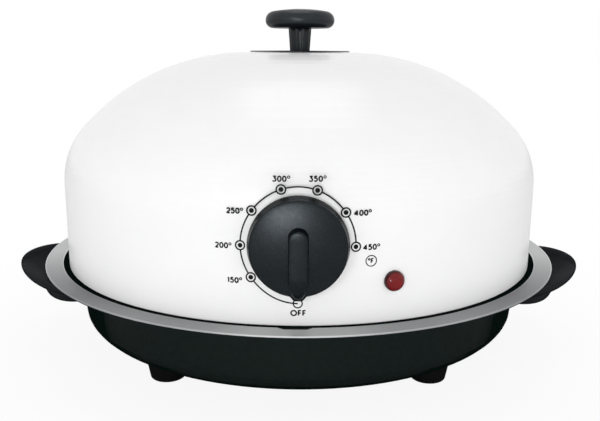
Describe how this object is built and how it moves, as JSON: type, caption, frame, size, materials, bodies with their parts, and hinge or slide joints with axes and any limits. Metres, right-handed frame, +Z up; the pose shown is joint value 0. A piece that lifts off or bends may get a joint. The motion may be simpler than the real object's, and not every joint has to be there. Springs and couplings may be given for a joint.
{
  "type": "electric pizza maker",
  "caption": "Round electric pizza maker: shallow black pan with side handles and feet under a lift-off white heated dome with a top knob, dial and red lamp.",
  "frame": {"origin": "on the table, under the pan's vertical axis", "axes": "+X to the right handle, +Y to the back, +Z up; the dial faces -Y"},
  "size_m": [0.4082, 0.3591, 0.2362],
  "materials": {
    "dome_enamel": "white gloss enamel",
    "pan_coating": "black satin non-stick coating",
    "rim_metal": "fine brushed, satin",
    "handle_plastic": "black satin moulding",
    "foot_plastic": "black matte moulding",
    "knob_plastic": "black semi-gloss moulding",
    "dial_plastic": "black satin moulding",
    "lens_plastic": "clear dark red, glossy",
    "lamp_plastic": "off-white moulding",
    "inlet_plastic": "black moulding",
    "zinc_steel": "bright zinc plate",
    "liner_steel": "bright aluminised sheet",
    "element_sheath": "dark oxidised steel",
    "bush_ceramic": "unglazed off-white",
    "thermostat_case": "smooth cream ceramic",
    "contact_brass": "bright brass",
    "scale_ink": "dark grey print",
    "capillary_copper": "bright copper",
    "lead_sleeve": "dark woven heat-proof sleeve",
    "earth_sleeve": "green heat-proof sleeve",
    "lamp_sleeve": "cream heat-proof sleeve"
  },
  "bodies": {
    "base": {"pan": "pan_coating", "rim_ring": "rim_metal", "handle_left": "handle_plastic", "handle_right": "handle_plastic", "handle_screws": "zinc_steel", "foot_front_left": "foot_plastic", "foot_front_right": "foot_plastic", "foot_rear_left": "foot_plastic", "foot_rear_right": "foot_plastic", "foot_bushes": "zinc_steel", "foot_screws": "zinc_steel"},
    "dome": {"dome_shell": "dome_enamel", "liner": "liner_steel", "heating_element": "element_sheath", "element_bushes": "bush_ceramic", "element_clips": "zinc_steel", "thermostat_body": "thermostat_case", "thermostat_tabs": "contact_brass", "thermostat_bracket": "zinc_steel", "thermostat_screws": "zinc_steel", "sensor_bulb": "capillary_copper", "bulb_clips": "zinc_steel", "lamp_lens": "lens_plastic", "lamp_barrel": "lamp_plastic", "lamp_nut": "zinc_steel", "inlet_housing": "inlet_plastic", "inlet_pins": "contact_brass", "inlet_screws": "zinc_steel", "line_lead": "lead_sleeve", "load_lead": "lead_sleeve", "neutral_lead": "lead_sleeve", "earth_lead": "earth_sleeve", "lamp_leads": "lamp_sleeve", "knob_plate": "knob_plastic", "lid_knob": "knob_plastic", "knob_stud": "zinc_steel", "stud_spacer": "zinc_steel", "liner_washer": "zinc_steel", "liner_nut": "zinc_steel"},
    "control": {"dial": "dial_plastic", "dial_shaft": "zinc_steel", "dial_spring": "zinc_steel"}
  },
  "joints": [
    {"name": "dome_lift", "type": "slide", "parent": "base", "child": "dome", "axis": [0, 0, 1], "range_m": [0, 0.2]},
    {"name": "dial_turn", "type": "hinge", "parent": "dome", "child": "control", "pos_m": [0, -0.17, 0.11], "axis": [0, 1, 0], "range_deg": [0, 271]}
  ]
}
